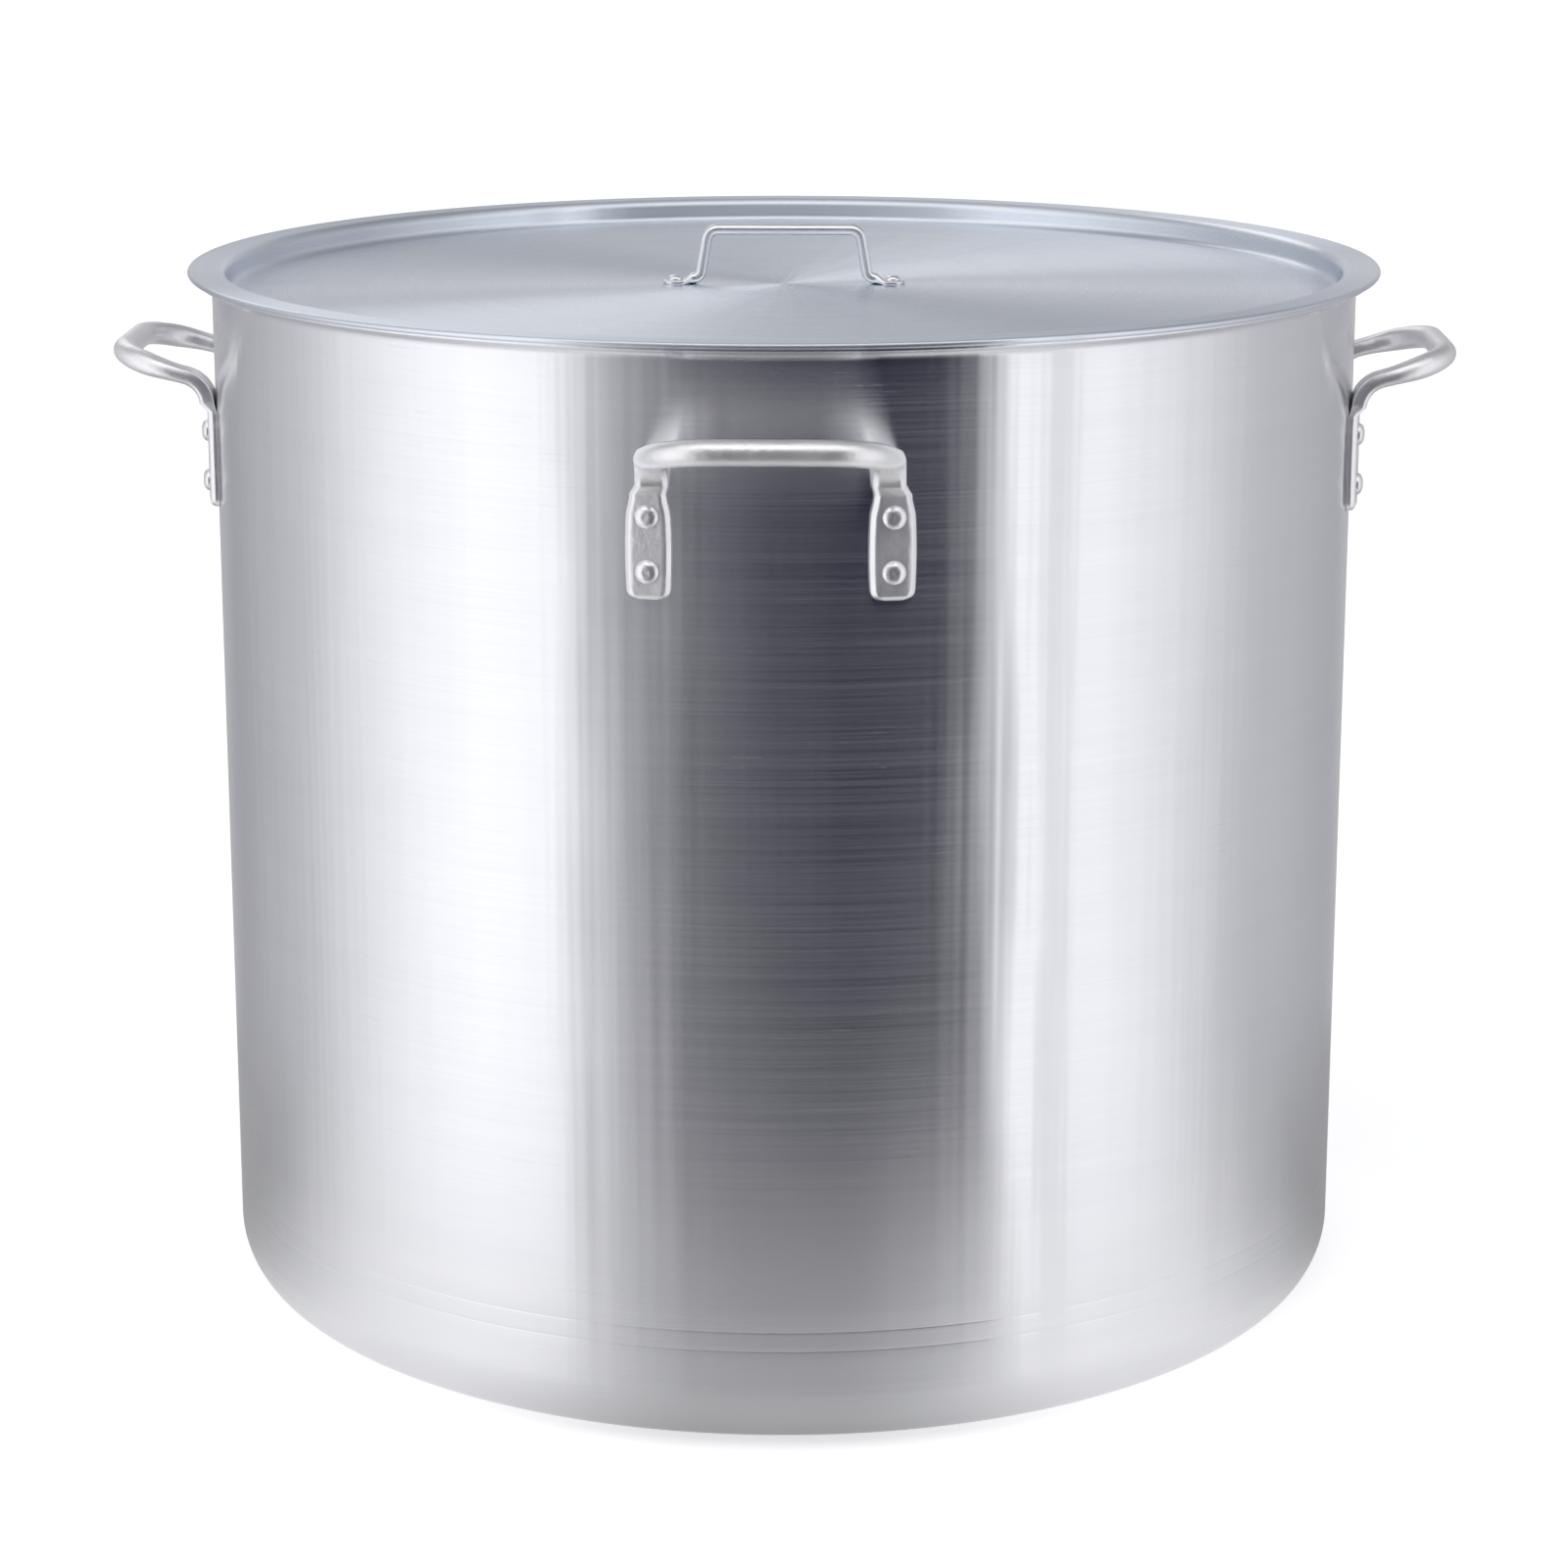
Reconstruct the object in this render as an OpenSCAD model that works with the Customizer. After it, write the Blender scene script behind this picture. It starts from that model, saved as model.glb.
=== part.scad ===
// Large aluminium stock pot with four riveted loop handles and a dished lift-off lid.
// Millimetres, +Z up. The origin is the middle of the base's underside.
// Handles stand at the front (-Y), back (+Y), left (-X) and right (+X).

/* [Pot] */
// Outside diameter of the wall
pot_d = 610; // [590:5:615]
// Height from the base's underside to the rim
pot_h = 558; // [420:1:700]
// Thickness of the wall
wall_t = 4; // [3:0.5:6]
// Thickness of the base
base_t = 6; // [4:0.5:8]
// Outside radius where the wall turns into the base
corner_r = 35; // [15:1:40]
// Outside diameter of the pot's out-turned rim
rim_d = 628; // [622:1:640]
// Thickness of the out-turned rim
rim_t = 3.4; // [2.5:0.1:5]
// Radius under the rim, where it turns out of the wall
rim_fillet_r = 5; // [3:0.5:7]
// Radius on the inside of the rim, where the wall turns outwards
rim_bend_r = 6; // [3:0.5:8]

/* [Lid] */
// Outside diameter of the lid's flange
lid_d = 635; // [610:1:650]
// Thickness of the lid's sheet
lid_t = 2; // [1.5:0.1:3]
// Depth of the dish, from the flange's top to the panel's top
dish_depth = 13; // [11:0.5:30]
// Diameter of the rolled bead round the lid's edge
lid_bead_d = 3; // [2.5:0.1:4]
// Gap all round between the dish and the inside of the pot
lid_gap = 2; // [1:0.1:3]
// Smaller radius of the bend between flange and dish
flange_bend_r = 3; // [1:0.1:4]
// Smaller radius of the bend between dish and panel
panel_bend_r = 4; // [1.5:0.1:5]

/* [Lid handle] */
// Diameter of the lid handle's rod
lid_rod_d = 6; // [5:0.5:8]
// Distance between the centrelines of the two upper corners
lid_grip_w = 83; // [60:1:100]
// Height of the handle above the panel
lid_handle_h = 32; // [26:1:45]
// Lean of each leg from vertical, outwards towards its foot
lid_leg_lean = 10; // [0:1:15]
// Centreline radius of the upper corners
lid_corner_r = 6; // [6:0.5:10]
// Centreline radius of the bend into each foot
lid_foot_bend_r = 4; // [4:0.5:6]
// Length of a foot, from the leg's bend to its rounded end
lid_foot_l = 16.5; // [14:0.5:24]
// Width of a foot
lid_foot_w = 13; // [11:1:18]
// Thickness of a foot
lid_foot_t = 2; // [2:0.5:4]

/* [Side handles] */
// Diameter of the round grip
grip_d = 12.5; // [8:0.5:14]
// Distance between the centrelines of the two legs
handle_w = 112; // [90:1:130]
// Distance from the pot's wall to the grip's centreline
handle_reach = 47; // [43:1:60]
// Height at which the legs start to bend away from the wall
leg_bend_z = 489.5; // [485:0.5:495]
// Angle of the legs above horizontal
leg_rise = 15; // [10:0.5:40]
// Centreline radius of the legs' bend away from the wall
leg_bend_r = 16; // [12:1:20]
// Centreline radius of the corners between grip and legs
grip_corner_r = 32; // [9:1:34]
// Width of a leg where it leaves the wall
leg_w = 16; // [12:1:20]
// Thickness of a leg where it leaves the wall
leg_t = 8; // [5:0.5:9]

/* [Paddles] */
// Distance between the centrelines of the two paddles
paddle_pitch = 115; // [95:1:132]
// Width of the flat paddle at the lower end of each leg
paddle_w = 22.5; // [20:0.5:28]
// Thickness of the paddle
paddle_t = 4.5; // [4:0.5:8]
// Distance from the lower rivet down to the paddle's end
paddle_end = 13.5; // [10:0.5:16]
// Radius of the paddle's two lower corners
paddle_corner_r = 5; // [3:0.5:9]
// Width of the bevel along the paddle's long edges
paddle_bevel = 3; // [1:0.2:4]

/* [Rivets] */
// Diameter of a side handle rivet's shank
rivet_d = 6.4; // [5:0.2:8]
// Distance between the two rivets of a paddle
rivet_pitch = 26.5; // [22:0.5:30]
// Height of the lower rivets
rivet_low_z = 449.5; // [400:0.5:453]
// Diameter of the outside head
rivet_head_d = 11.5; // [10:0.5:14]
// Height of the outside head
rivet_head_h = 3.5; // [3:0.2:5]
// Diameter of the formed head inside the pot
rivet_tail_d = 12; // [10:0.5:14]
// Height of the formed head inside the pot
rivet_tail_h = 2.2; // [1.5:0.1:3]
// Diameter of a lid rivet's shank
lid_rivet_d = 5; // [4:0.2:6]
// Diameter of a lid rivet's heads
lid_rivet_head_d = 8; // [8:0.5:11]
// Height of a lid rivet's upper head
lid_rivet_head_h = 2.8; // [2:0.1:4]
// Height of a lid rivet's lower head
lid_rivet_tail_h = 1.6; // [1:0.1:2.5]
// Radial clearance of a rivet in its hole
rivet_clearance = 0.05; // [0.02:0.01:0.1]

/* [Hidden] */
$fn = 96;
SIDES = ["front", "right", "back", "left"];
SIDE_ANGLES = [-90, 0, 90, 180];
RIVETS = ["left_upper", "left_lower", "right_upper", "right_lower"];
LID_RIVETS = ["left", "right"];

POT_ALUMINIUM = [0.78, 0.79, 0.81];
LID_ALUMINIUM = [0.74, 0.76, 0.79];
CAST_ALUMINIUM = [0.86, 0.86, 0.87];
RIVET_ALUMINIUM = [0.90, 0.90, 0.91];

overlap = 0.5; // how far joined shapes of one solid run into each other, and cutters past a face
seam = 0.05; // how far a shape's end stays inside the shape that it runs into
hull_facets = 32; // facets of the round ends of a blended shape
seat_cut = 0.2; // how far a leg's back runs into the wall before the wall's round is cut from it
paddle_cut = 1; // the same for a paddle, which is wider
hole_reach = 30; // how far a rivet hole's cutter runs to each side of the wall's outside
tail_gap = 0.02; // gap between the edge of a rivet's inner head and the wall
paddle_neck_h = 6; // height over which a paddle narrows to its leg
leg_foot_h = 3; // straight strip of a leg below its bend
lid_taper_l = 5; // length over which the lid handle's rod flattens into the foot

pot_r = pot_d / 2;
pot_inner_r = pot_r - wall_t;
rim_r = rim_d / 2;

dish_outer_r = pot_inner_r - lid_gap;
dish_inner_r = dish_outer_r - lid_t;
lid_top_z = pot_h + lid_t;
panel_z = lid_top_z - dish_depth;
panel_r = dish_inner_r - panel_bend_r;

// The leg's strip lies against the wall where the wall crosses the leg's own plane.
half_w = handle_w / 2;
paddle_angle = asin(paddle_pitch / (2 * pot_r));
leg_x = sqrt(pot_r * pot_r - half_w * half_w) + leg_t / 2 - seat_cut;
bend_sweep = 90 - leg_rise;
bend_end_x = leg_x + leg_bend_r * (1 - cos(bend_sweep));
bend_end_z = leg_bend_z + leg_bend_r * sin(bend_sweep);
grip_x = pot_r + handle_reach;
leg_run = (grip_x - bend_end_x) / cos(leg_rise);
grip_z = bend_end_z + leg_run * sin(leg_rise);

paddle_low_z = rivet_low_z - paddle_end;
paddle_high_z = leg_bend_z - leg_foot_h;
rivet_high_z = rivet_low_z + rivet_pitch;
// A flat head meets the concave wall at the head's rim, so its seat is a little inside the wall.
rivet_seat_r = sqrt(pow(pot_inner_r, 2) - pow(rivet_tail_d / 2, 2)) - tail_gap;

lid_grip_z = lid_handle_h - lid_rod_d / 2;
lid_rod_r = lid_rod_d / 2;
lid_bend_sweep = 90 - lid_leg_lean;
lid_leg_top = [
    lid_grip_w / 2 - lid_corner_r + lid_corner_r * cos(lid_leg_lean),
    lid_grip_z - lid_corner_r + lid_corner_r * sin(lid_leg_lean)
];
lid_leg_low_z = lid_rod_r + lid_foot_bend_r * (1 - sin(lid_leg_lean));
lid_leg_low_x = lid_leg_top[0] + (lid_leg_top[1] - lid_leg_low_z) * tan(lid_leg_lean);
lid_foot_x = lid_leg_low_x + lid_foot_bend_r * cos(lid_leg_lean);
lid_foot_end_x = lid_foot_x + lid_foot_l;
lid_rivet_x = lid_foot_end_x - lid_foot_w / 2;

// A quarter of a ring between radii r and r + t, in the quadrant that starts at angle a.
module quarter_ring(r, t, a) {
    rotate(a) intersection() {
        difference() {
            circle(r + t);
            circle(r);
        }
        square(r + t + overlap);
    }
}

// Half section of a round pan of radius r and height h, with a rounded lower corner c.
module pan_section(r, h, c) {
    translate([0, c]) square([r, h - c]);
    square([r - c, c + overlap]);
    intersection() {
        translate([r - c, c]) circle(c);
        translate([r - c - overlap, 0]) square([c + overlap, c + overlap]);
    }
}

// Half section of a domed head of base diameter d and height h, standing on y = 0.
module head_section(d, h) {
    sphere_r = (h * h + d * d / 4) / (2 * h);
    intersection() {
        translate([0, h - sphere_r]) circle(sphere_r);
        square([d / 2 + overlap, h + overlap]);
    }
}

// A rivet along +X: shank from x = seat to x = face, domed head outside, flatter head inside.
module rivet(seat, face, d, head_d, head_h, tail_d, tail_h) {
    translate([seat, 0, 0]) rotate([0, 90, 0]) rotate_extrude() {
        translate([0, -overlap]) square([d / 2, face - seat + 2 * overlap]);
        translate([0, face - seat]) head_section(head_d, head_h);
        mirror([0, 1]) head_section(tail_d, tail_h);
    }
}

// Places its children on the four rivet axes of the handle that reaches out along +X.
module on_each_rivet_axis() {
    for (side = [-1, 1], z = [rivet_low_z, rivet_high_z])
        rotate([0, 0, side * paddle_angle]) translate([0, 0, z]) children();
}

module rivet_holes() {
    hole_r = rivet_d / 2 + rivet_clearance;
    on_each_rivet_axis()
        translate([pot_r - hole_reach, 0, 0]) rotate([0, 90, 0])
            cylinder(r = hole_r, h = 2 * hole_reach);
}

// Half section of the rim: the wall's top turned outwards, with a fillet below and a bend inside.
module rim_section() {
    under_z = pot_h - rim_t;
    difference() {
        translate([pot_inner_r, under_z - rim_fillet_r])
            square([wall_t + rim_fillet_r, rim_t + rim_fillet_r]);
        translate([pot_r + rim_fillet_r, under_z - rim_fillet_r]) circle(rim_fillet_r);
        difference() {
            translate([pot_inner_r - overlap, pot_h - rim_bend_r])
                square([rim_bend_r + overlap, rim_bend_r + overlap]);
            translate([pot_inner_r + rim_bend_r, pot_h - rim_bend_r]) circle(rim_bend_r);
        }
    }
    translate([pot_r + rim_fillet_r - overlap, under_z])
        square([rim_r - rim_t / 2 - pot_r - rim_fillet_r + overlap, rim_t]);
    translate([rim_r - rim_t / 2, pot_h - rim_t / 2]) circle(d = rim_t);
}

module pot_body() {
    color(POT_ALUMINIUM) difference() {
        rotate_extrude() {
            difference() {
                pan_section(pot_r, pot_h - rim_t - rim_fillet_r + overlap, corner_r);
                translate([0, base_t]) pan_section(pot_inner_r, pot_h, corner_r - wall_t);
            }
            rim_section();
        }
        for (angle = SIDE_ANGLES) rotate([0, 0, angle]) rivet_holes();
    }
}

module lid() {
    bend_x = dish_outer_r + flange_bend_r;
    bend_z = pot_h - flange_bend_r;
    bead_x = (lid_d - lid_bead_d) / 2;
    color(LID_ALUMINIUM) difference() {
        rotate_extrude() {
            translate([0, panel_z - lid_t]) square([panel_r, lid_t]);
            translate([panel_r, panel_z + panel_bend_r]) quarter_ring(panel_bend_r, lid_t, -90);
            translate([dish_inner_r, panel_z + panel_bend_r])
                square([lid_t, bend_z - panel_z - panel_bend_r]);
            translate([bend_x, bend_z]) quarter_ring(flange_bend_r, lid_t, 90);
            translate([bend_x, pot_h]) square([bead_x - bend_x, lid_t]);
            translate([bead_x, lid_top_z - lid_bead_d / 2]) circle(d = lid_bead_d);
        }
        lid_rivet_holes(panel_z - lid_t, lid_t);
    }
}

// Cutters for the lid handle's rivets, through a sheet of thickness h that lies on z.
module lid_rivet_holes(z, h) {
    for (side = [-1, 1])
        translate([side * lid_rivet_x, 0, z - overlap])
            cylinder(r = lid_rivet_d / 2 + rivet_clearance, h = h + 2 * overlap);
}

// The round rod's corner, leg and lower bend on the +X side, with z = 0 on the panel.
module lid_handle_leg() {
    leg_l = (lid_leg_top[1] - lid_leg_low_z) / cos(lid_leg_lean);
    translate([lid_grip_w / 2 - lid_corner_r, 0, lid_grip_z - lid_corner_r]) rotate([90, 0, 0])
        rotate([0, 0, lid_leg_lean]) rotate_extrude(angle = lid_bend_sweep)
            translate([lid_corner_r, 0]) circle(d = lid_rod_d);
    translate([lid_leg_low_x, 0, lid_leg_low_z]) rotate([0, -lid_leg_lean, 0])
        translate([0, 0, -overlap]) cylinder(d = lid_rod_d - 2 * seam, h = leg_l + 2 * overlap);
    translate([lid_foot_x, 0, lid_rod_r + lid_foot_bend_r]) rotate([90, 0, 0])
        rotate([0, 0, 180 + lid_leg_lean]) rotate_extrude(angle = lid_bend_sweep)
            translate([lid_foot_bend_r, 0]) circle(d = lid_rod_d);
}

// The foot on the +X side: the rod flattened into a tongue with a rounded end.
module lid_handle_foot() {
    tongue_x = lid_foot_x + lid_taper_l;
    hull() {
        translate([lid_foot_x - overlap, 0, lid_rod_r]) rotate([0, 90, 0])
            cylinder(d = lid_rod_d - 2 * seam, h = overlap, $fn = hull_facets);
        translate([tongue_x, -lid_foot_w / 2, 0]) cube([overlap, lid_foot_w, lid_foot_t]);
    }
    translate([tongue_x, -lid_foot_w / 2, 0])
        cube([lid_rivet_x - tongue_x, lid_foot_w, lid_foot_t]);
    translate([lid_rivet_x, 0, 0]) cylinder(d = lid_foot_w, h = lid_foot_t);
}

module lid_handle() {
    bar_l = lid_grip_w - 2 * lid_corner_r + 2 * overlap;
    color(CAST_ALUMINIUM) translate([0, 0, panel_z]) difference() {
        union() {
            translate([-bar_l / 2, 0, lid_grip_z]) rotate([0, 90, 0])
                cylinder(d = lid_rod_d - 2 * seam, h = bar_l);
            for (flip = [0, 1]) mirror([flip, 0, 0]) {
                lid_handle_leg();
                lid_handle_foot();
            }
        }
        lid_rivet_holes(0, lid_foot_t);
    }
}

// Flat section of a leg, thickness along X and width along Y, with round ends, shrunk by inset.
module leg_section(inset = 0) {
    thick = leg_t - 2 * inset;
    square([thick, leg_w - leg_t], center = true);
    for (side = [-1, 1]) translate([0, side * (leg_w - leg_t) / 2]) circle(d = thick);
}

// The leg on the +Y side: the strip against the wall, its bend, and the taper to the round grip.
module handle_leg() {
    translate([leg_x, half_w, leg_bend_z - leg_foot_h])
        linear_extrude(leg_foot_h + overlap) leg_section(seam);
    translate([leg_x + leg_bend_r, half_w, leg_bend_z]) rotate([90, 0, 0])
        rotate([0, 0, 90 + leg_rise]) rotate_extrude(angle = bend_sweep)
            translate([leg_bend_r, 0]) leg_section();
    translate([grip_x, half_w, grip_z]) rotate([0, -leg_rise, 0]) hull() {
        translate([-grip_corner_r, 0, 0]) rotate([0, 90, 0])
            cylinder(d = grip_d - 2 * seam, h = overlap, $fn = hull_facets);
        translate([-leg_run - overlap, 0, 0]) rotate([0, 90, 0])
            linear_extrude(overlap) leg_section(seam, $fn = hull_facets);
    }
}

// The flat paddle, standing on the wall in the radial frame of its own rivets.
module paddle() {
    half = paddle_w / 2;
    low = paddle_low_z + paddle_corner_r;
    intersection() {
        translate([pot_r - paddle_cut, 0, 0]) rotate([90, 0, 90])
                linear_extrude(paddle_t + paddle_cut) {
            polygon([
                [-half, low],
                [half, low],
                [half, paddle_high_z],
                [leg_w / 2, paddle_high_z + paddle_neck_h],
                [-leg_w / 2, paddle_high_z + paddle_neck_h],
                [-half, paddle_high_z]
            ]);
            translate([-half + paddle_corner_r, paddle_low_z])
                square([paddle_w - 2 * paddle_corner_r, paddle_corner_r + overlap]);
            for (side = [-1, 1]) translate([side * (half - paddle_corner_r), low])
                circle(paddle_corner_r);
        }
        translate([pot_r, 0, 0]) linear_extrude(pot_h) polygon([
            [-paddle_cut - overlap, -half],
            [paddle_t - paddle_bevel, -half],
            [paddle_t, -half + paddle_bevel],
            [paddle_t, half - paddle_bevel],
            [paddle_t - paddle_bevel, half],
            [-paddle_cut - overlap, half]
        ]);
    }
}

// One cast loop handle, reaching out along +X: round grip and corners, two legs, two paddles.
module handle() {
    color(CAST_ALUMINIUM) difference() {
        union() {
            translate([grip_x, 0, grip_z]) rotate([0, -leg_rise, 0]) {
                translate([0, grip_corner_r - half_w, 0]) rotate([-90, 0, 0])
                    cylinder(d = grip_d, h = handle_w - 2 * grip_corner_r);
                for (flip = [0, 1]) mirror([0, flip, 0])
                    translate([-grip_corner_r, half_w - grip_corner_r, 0])
                        rotate_extrude(angle = 90) translate([grip_corner_r, 0]) circle(d = grip_d);
            }
            for (flip = [0, 1]) mirror([0, flip, 0]) {
                handle_leg();
                rotate([0, 0, paddle_angle]) paddle();
            }
        }
        cylinder(r = pot_r, h = pot_h);
        rivet_holes();
    }
}

// Rivet number n of one handle: seen from outside, left is clockwise from above.
module handle_rivet(n) {
    side = n < 2 ? -1 : 1;
    z = n % 2 == 0 ? rivet_high_z : rivet_low_z;
    color(RIVET_ALUMINIUM) rotate([0, 0, side * paddle_angle]) translate([0, 0, z])
        rivet(rivet_seat_r, pot_r + paddle_t, rivet_d,
              rivet_head_d, rivet_head_h, rivet_tail_d, rivet_tail_h);
}

module lid_rivet(side) {
    color(RIVET_ALUMINIUM)
        translate([side * lid_rivet_x, 0, panel_z]) rotate([0, -90, 0])
            rivet(-lid_t, lid_foot_t, lid_rivet_d,
                  lid_rivet_head_d, lid_rivet_head_h, lid_rivet_head_d, lid_rivet_tail_h);
}

pot_body();
lid();
lid_handle();
for (s = [0:3]) {
    rotate([0, 0, SIDE_ANGLES[s]]) handle();
    for (n = [0:3])
        rotate([0, 0, SIDE_ANGLES[s]]) handle_rivet(n);
}
for (n = [0, 1])
    lid_rivet(2 * n - 1);
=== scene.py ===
"""Looks for a large aluminium stock pot: turned shells, cast handles, rivets and a studio.

Metres, +Z up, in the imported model's frame. The front handle is at -Y.
"""

import math

import bmesh
import bpy
from mathutils import Matrix, Vector


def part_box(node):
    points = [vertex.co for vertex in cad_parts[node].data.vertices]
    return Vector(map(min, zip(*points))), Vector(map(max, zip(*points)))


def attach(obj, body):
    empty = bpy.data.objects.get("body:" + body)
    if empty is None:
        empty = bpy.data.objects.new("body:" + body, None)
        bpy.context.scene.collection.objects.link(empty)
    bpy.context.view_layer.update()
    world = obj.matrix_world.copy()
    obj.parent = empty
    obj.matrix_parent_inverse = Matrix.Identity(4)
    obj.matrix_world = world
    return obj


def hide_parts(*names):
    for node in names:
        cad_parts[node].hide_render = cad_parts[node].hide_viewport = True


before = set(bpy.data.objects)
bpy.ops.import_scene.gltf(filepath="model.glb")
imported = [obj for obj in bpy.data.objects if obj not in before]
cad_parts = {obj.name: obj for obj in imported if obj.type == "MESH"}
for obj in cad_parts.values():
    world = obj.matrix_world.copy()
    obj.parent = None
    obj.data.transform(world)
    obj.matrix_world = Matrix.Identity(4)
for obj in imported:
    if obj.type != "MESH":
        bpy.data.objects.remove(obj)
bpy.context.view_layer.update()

MM = 0.001
POT_RIM_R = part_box("pot_body")[1].x
RIM_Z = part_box("pot_body")[1].z
LID_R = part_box("lid")[1].x
LID_TOP_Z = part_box("lid")[1].z

# Pot shell
WALL_R = 305 * MM
WALL_T = 4 * MM
BASE_T = 6 * MM
GROOVE_Z = [56 * MM, 66 * MM]
GROOVE_W = 1.4 * MM
GROOVE_DEPTH = 0.12 * MM
CORNER_R = 35 * MM
RIM_T = 3.4 * MM
RIM_FILLET_R = 5 * MM
RIM_BEND_R = 6 * MM

# Lid
LID_T = 2 * MM
DISH_DEPTH = 13 * MM
DISH_R = 299 * MM
FLANGE_BEND_R = 3 * MM
PANEL_BEND_R = 4 * MM
BEAD_R = 1.5 * MM
PANEL_Z = LID_TOP_Z - DISH_DEPTH

# Side handles, in the frame of a handle that reaches out along +X
GRIP_R = 6.25 * MM
HALF_HANDLE_W = 56 * MM
GRIP_X = WALL_R + 47 * MM
GRIP_CORNER_R = 32 * MM
LEG_RISE = math.radians(15)
LEG_BEND_R = 16 * MM
LEG_BEND_Z = 489.5 * MM
LEG_W = 16 * MM
LEG_T = 8 * MM
LEG_BITE = 0.2 * MM  # how far the leg's inner face reaches into the wall before it is pushed out
LEG_NARROWING = 0.04  # of its width, over the bend
LEG_THICKENING = 0.14  # of its thickness, over the bend
LEG_SQUARE = 0.45  # how square the leg still is after the bend
GRIP_TAPER = 0.6  # how far into the corner the leg goes on rounding, as a share of the corner's radius
SEAT_GAP = 0.05 * MM  # between the wall and whatever of the handle is pushed out of it
RIVET_LOW_Z = 449.5 * MM
RIVET_HIGH_Z = RIVET_LOW_Z + 26.5 * MM

# Paddles, the flat lower ends of the side handles
PADDLE_ANGLE = math.asin(57.5 / 305)
PADDLE_W = 22.5 * MM
PADDLE_T = 4.5 * MM
PADDLE_BEVEL = 3 * MM
PADDLE_CORNER_R = 5 * MM
PADDLE_CORNER_DEPTH = 0.8  # share of the corner's round that is cut away
PADDLE_END_T = 0.7  # thickness at the very end, as a share of the full thickness
PADDLE_LOW_Z = RIVET_LOW_Z - 13.5 * MM
PADDLE_NECK_Z = LEG_BEND_Z - 3 * MM
PADDLE_NECK_EXTRA = 1 * MM  # the neck's half-width beyond the leg's
PADDLE_WIDEST = 0.45  # share of the height at which the paddle is widest
PADDLE_BELLY = 0.36  # how strongly the sides draw in above and below that
PADDLE_CROWDING = 1.5  # rings lie closer together towards the rounded end
BEVEL_CUT = 0.75  # share of the bevel that the slanted faces take off each front corner

# Rivets
RIVET_R = 3.2 * MM
RIVET_HEAD_R = 5.75 * MM
RIVET_HEAD_H = 3.5 * MM
RIVET_TAIL_R = 6 * MM
RIVET_TAIL_H = 2.2 * MM
RIVET_EDGE = 0.12  # height of the head's straight edge, as a share of the head
RIVET_DIMPLE = 0.1  # depth of the flat spot on top, as a share of the head
RIVET_DIMPLE_FALL = 3  # how quickly the flat spot ends towards the head's edge
LID_RIVET_R = 2.5 * MM
LID_RIVET_HEAD_R = 4 * MM
LID_RIVET_HEAD_H = 2.8 * MM
LID_RIVET_TAIL_H = 1.6 * MM

# Lid handle
LID_ROD_R = 3 * MM
LID_HALF_W = 41.5 * MM
LID_GRIP_Z = 29 * MM
LID_LEAN = math.radians(10)
LID_CORNER_R = 6 * MM
LID_FOOT_BEND_R = 4 * MM
LID_FOOT_END = 65 * MM
LID_FOOT_W = 13 * MM
LID_FOOT_T = 2 * MM
LID_FOOT_TIP = 0.4 * MM  # the least half-width, at the foot's end
LID_FOOT_BEVEL = 0.6 * MM
LID_FOOT_SQUARE = 0.9
LID_FOOT_FLAT = 0.35  # share of the way from the rivet to the bend that stays flat
LID_RIVET_X = LID_FOOT_END - LID_FOOT_W / 2

# How finely the meshes are cut
TURN_STEPS = 384
RIVET_STEPS = 48
RING_STEPS = 48

# Below the first, a radius is on the axis. Above the second, a bar's side faces the ray that looks for it.
ON_AXIS = 1e-7
FACING = 1e-6

SIDES = {"front": -90, "right": 0, "back": 90, "left": 180}
HANDS = {"left": -1, "right": 1}
QUARTER = math.pi / 2
STILL = Matrix.Identity(4)
OUTWARD = Matrix.Rotation(QUARTER, 4, "Y")
ALONG_Y = Vector((0, 1, 0))
UP = Vector((0, 0, 1))


# ---------- profiles and meshes ----------

def arc(cx, cz, r, start, end, steps=12):
    """Points of an arc from start to end, in degrees."""
    points = []
    for i in range(steps + 1):
        a = math.radians(start + (end - start) * i / steps)
        points.append((cx + r * math.cos(a), cz + r * math.sin(a)))
    return points


def line(a, b, steps):
    """Points strictly between a and b."""
    points = []
    for i in range(1, steps):
        t = i / steps
        points.append((a[0] + (b[0] - a[0]) * t, a[1] + (b[1] - a[1]) * t))
    return points


def smooth(t):
    """0 below 0, 1 above 1, and an S-shaped curve between."""
    t = max(0.0, min(1.0, t))
    return t * t * (3 - 2 * t)


def make_mesh(name, verts, faces):
    mesh = bpy.data.meshes.new(name)
    mesh.from_pydata([tuple(v) for v in verts], [], faces)
    mesh.validate()
    mesh.update()
    for polygon in mesh.polygons:
        polygon.use_smooth = True
    obj = bpy.data.objects.new(name, mesh)
    bpy.context.scene.collection.objects.link(obj)
    return obj


def lathe(name, profile, steps):
    """Turns a profile of (radius, z), which starts and ends on the axis, about Z."""
    verts = []
    rings = []
    for r, z in profile:
        if r < ON_AXIS:
            rings.append([len(verts)])
            verts.append((0, 0, z))
            continue
        rings.append(list(range(len(verts), len(verts) + steps)))
        for i in range(steps):
            a = 2 * math.pi * i / steps
            verts.append((r * math.cos(a), r * math.sin(a), z))
    faces = []
    for low, high in zip(rings, rings[1:]):
        for i in range(steps):
            j = (i + 1) % steps
            if len(low) == 1:
                faces.append((low[0], high[j], high[i]))
            elif len(high) == 1:
                faces.append((low[i], low[j], high[0]))
            else:
                faces.append((low[i], low[j], high[j], high[i]))
    return make_mesh(name, verts, faces)


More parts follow.
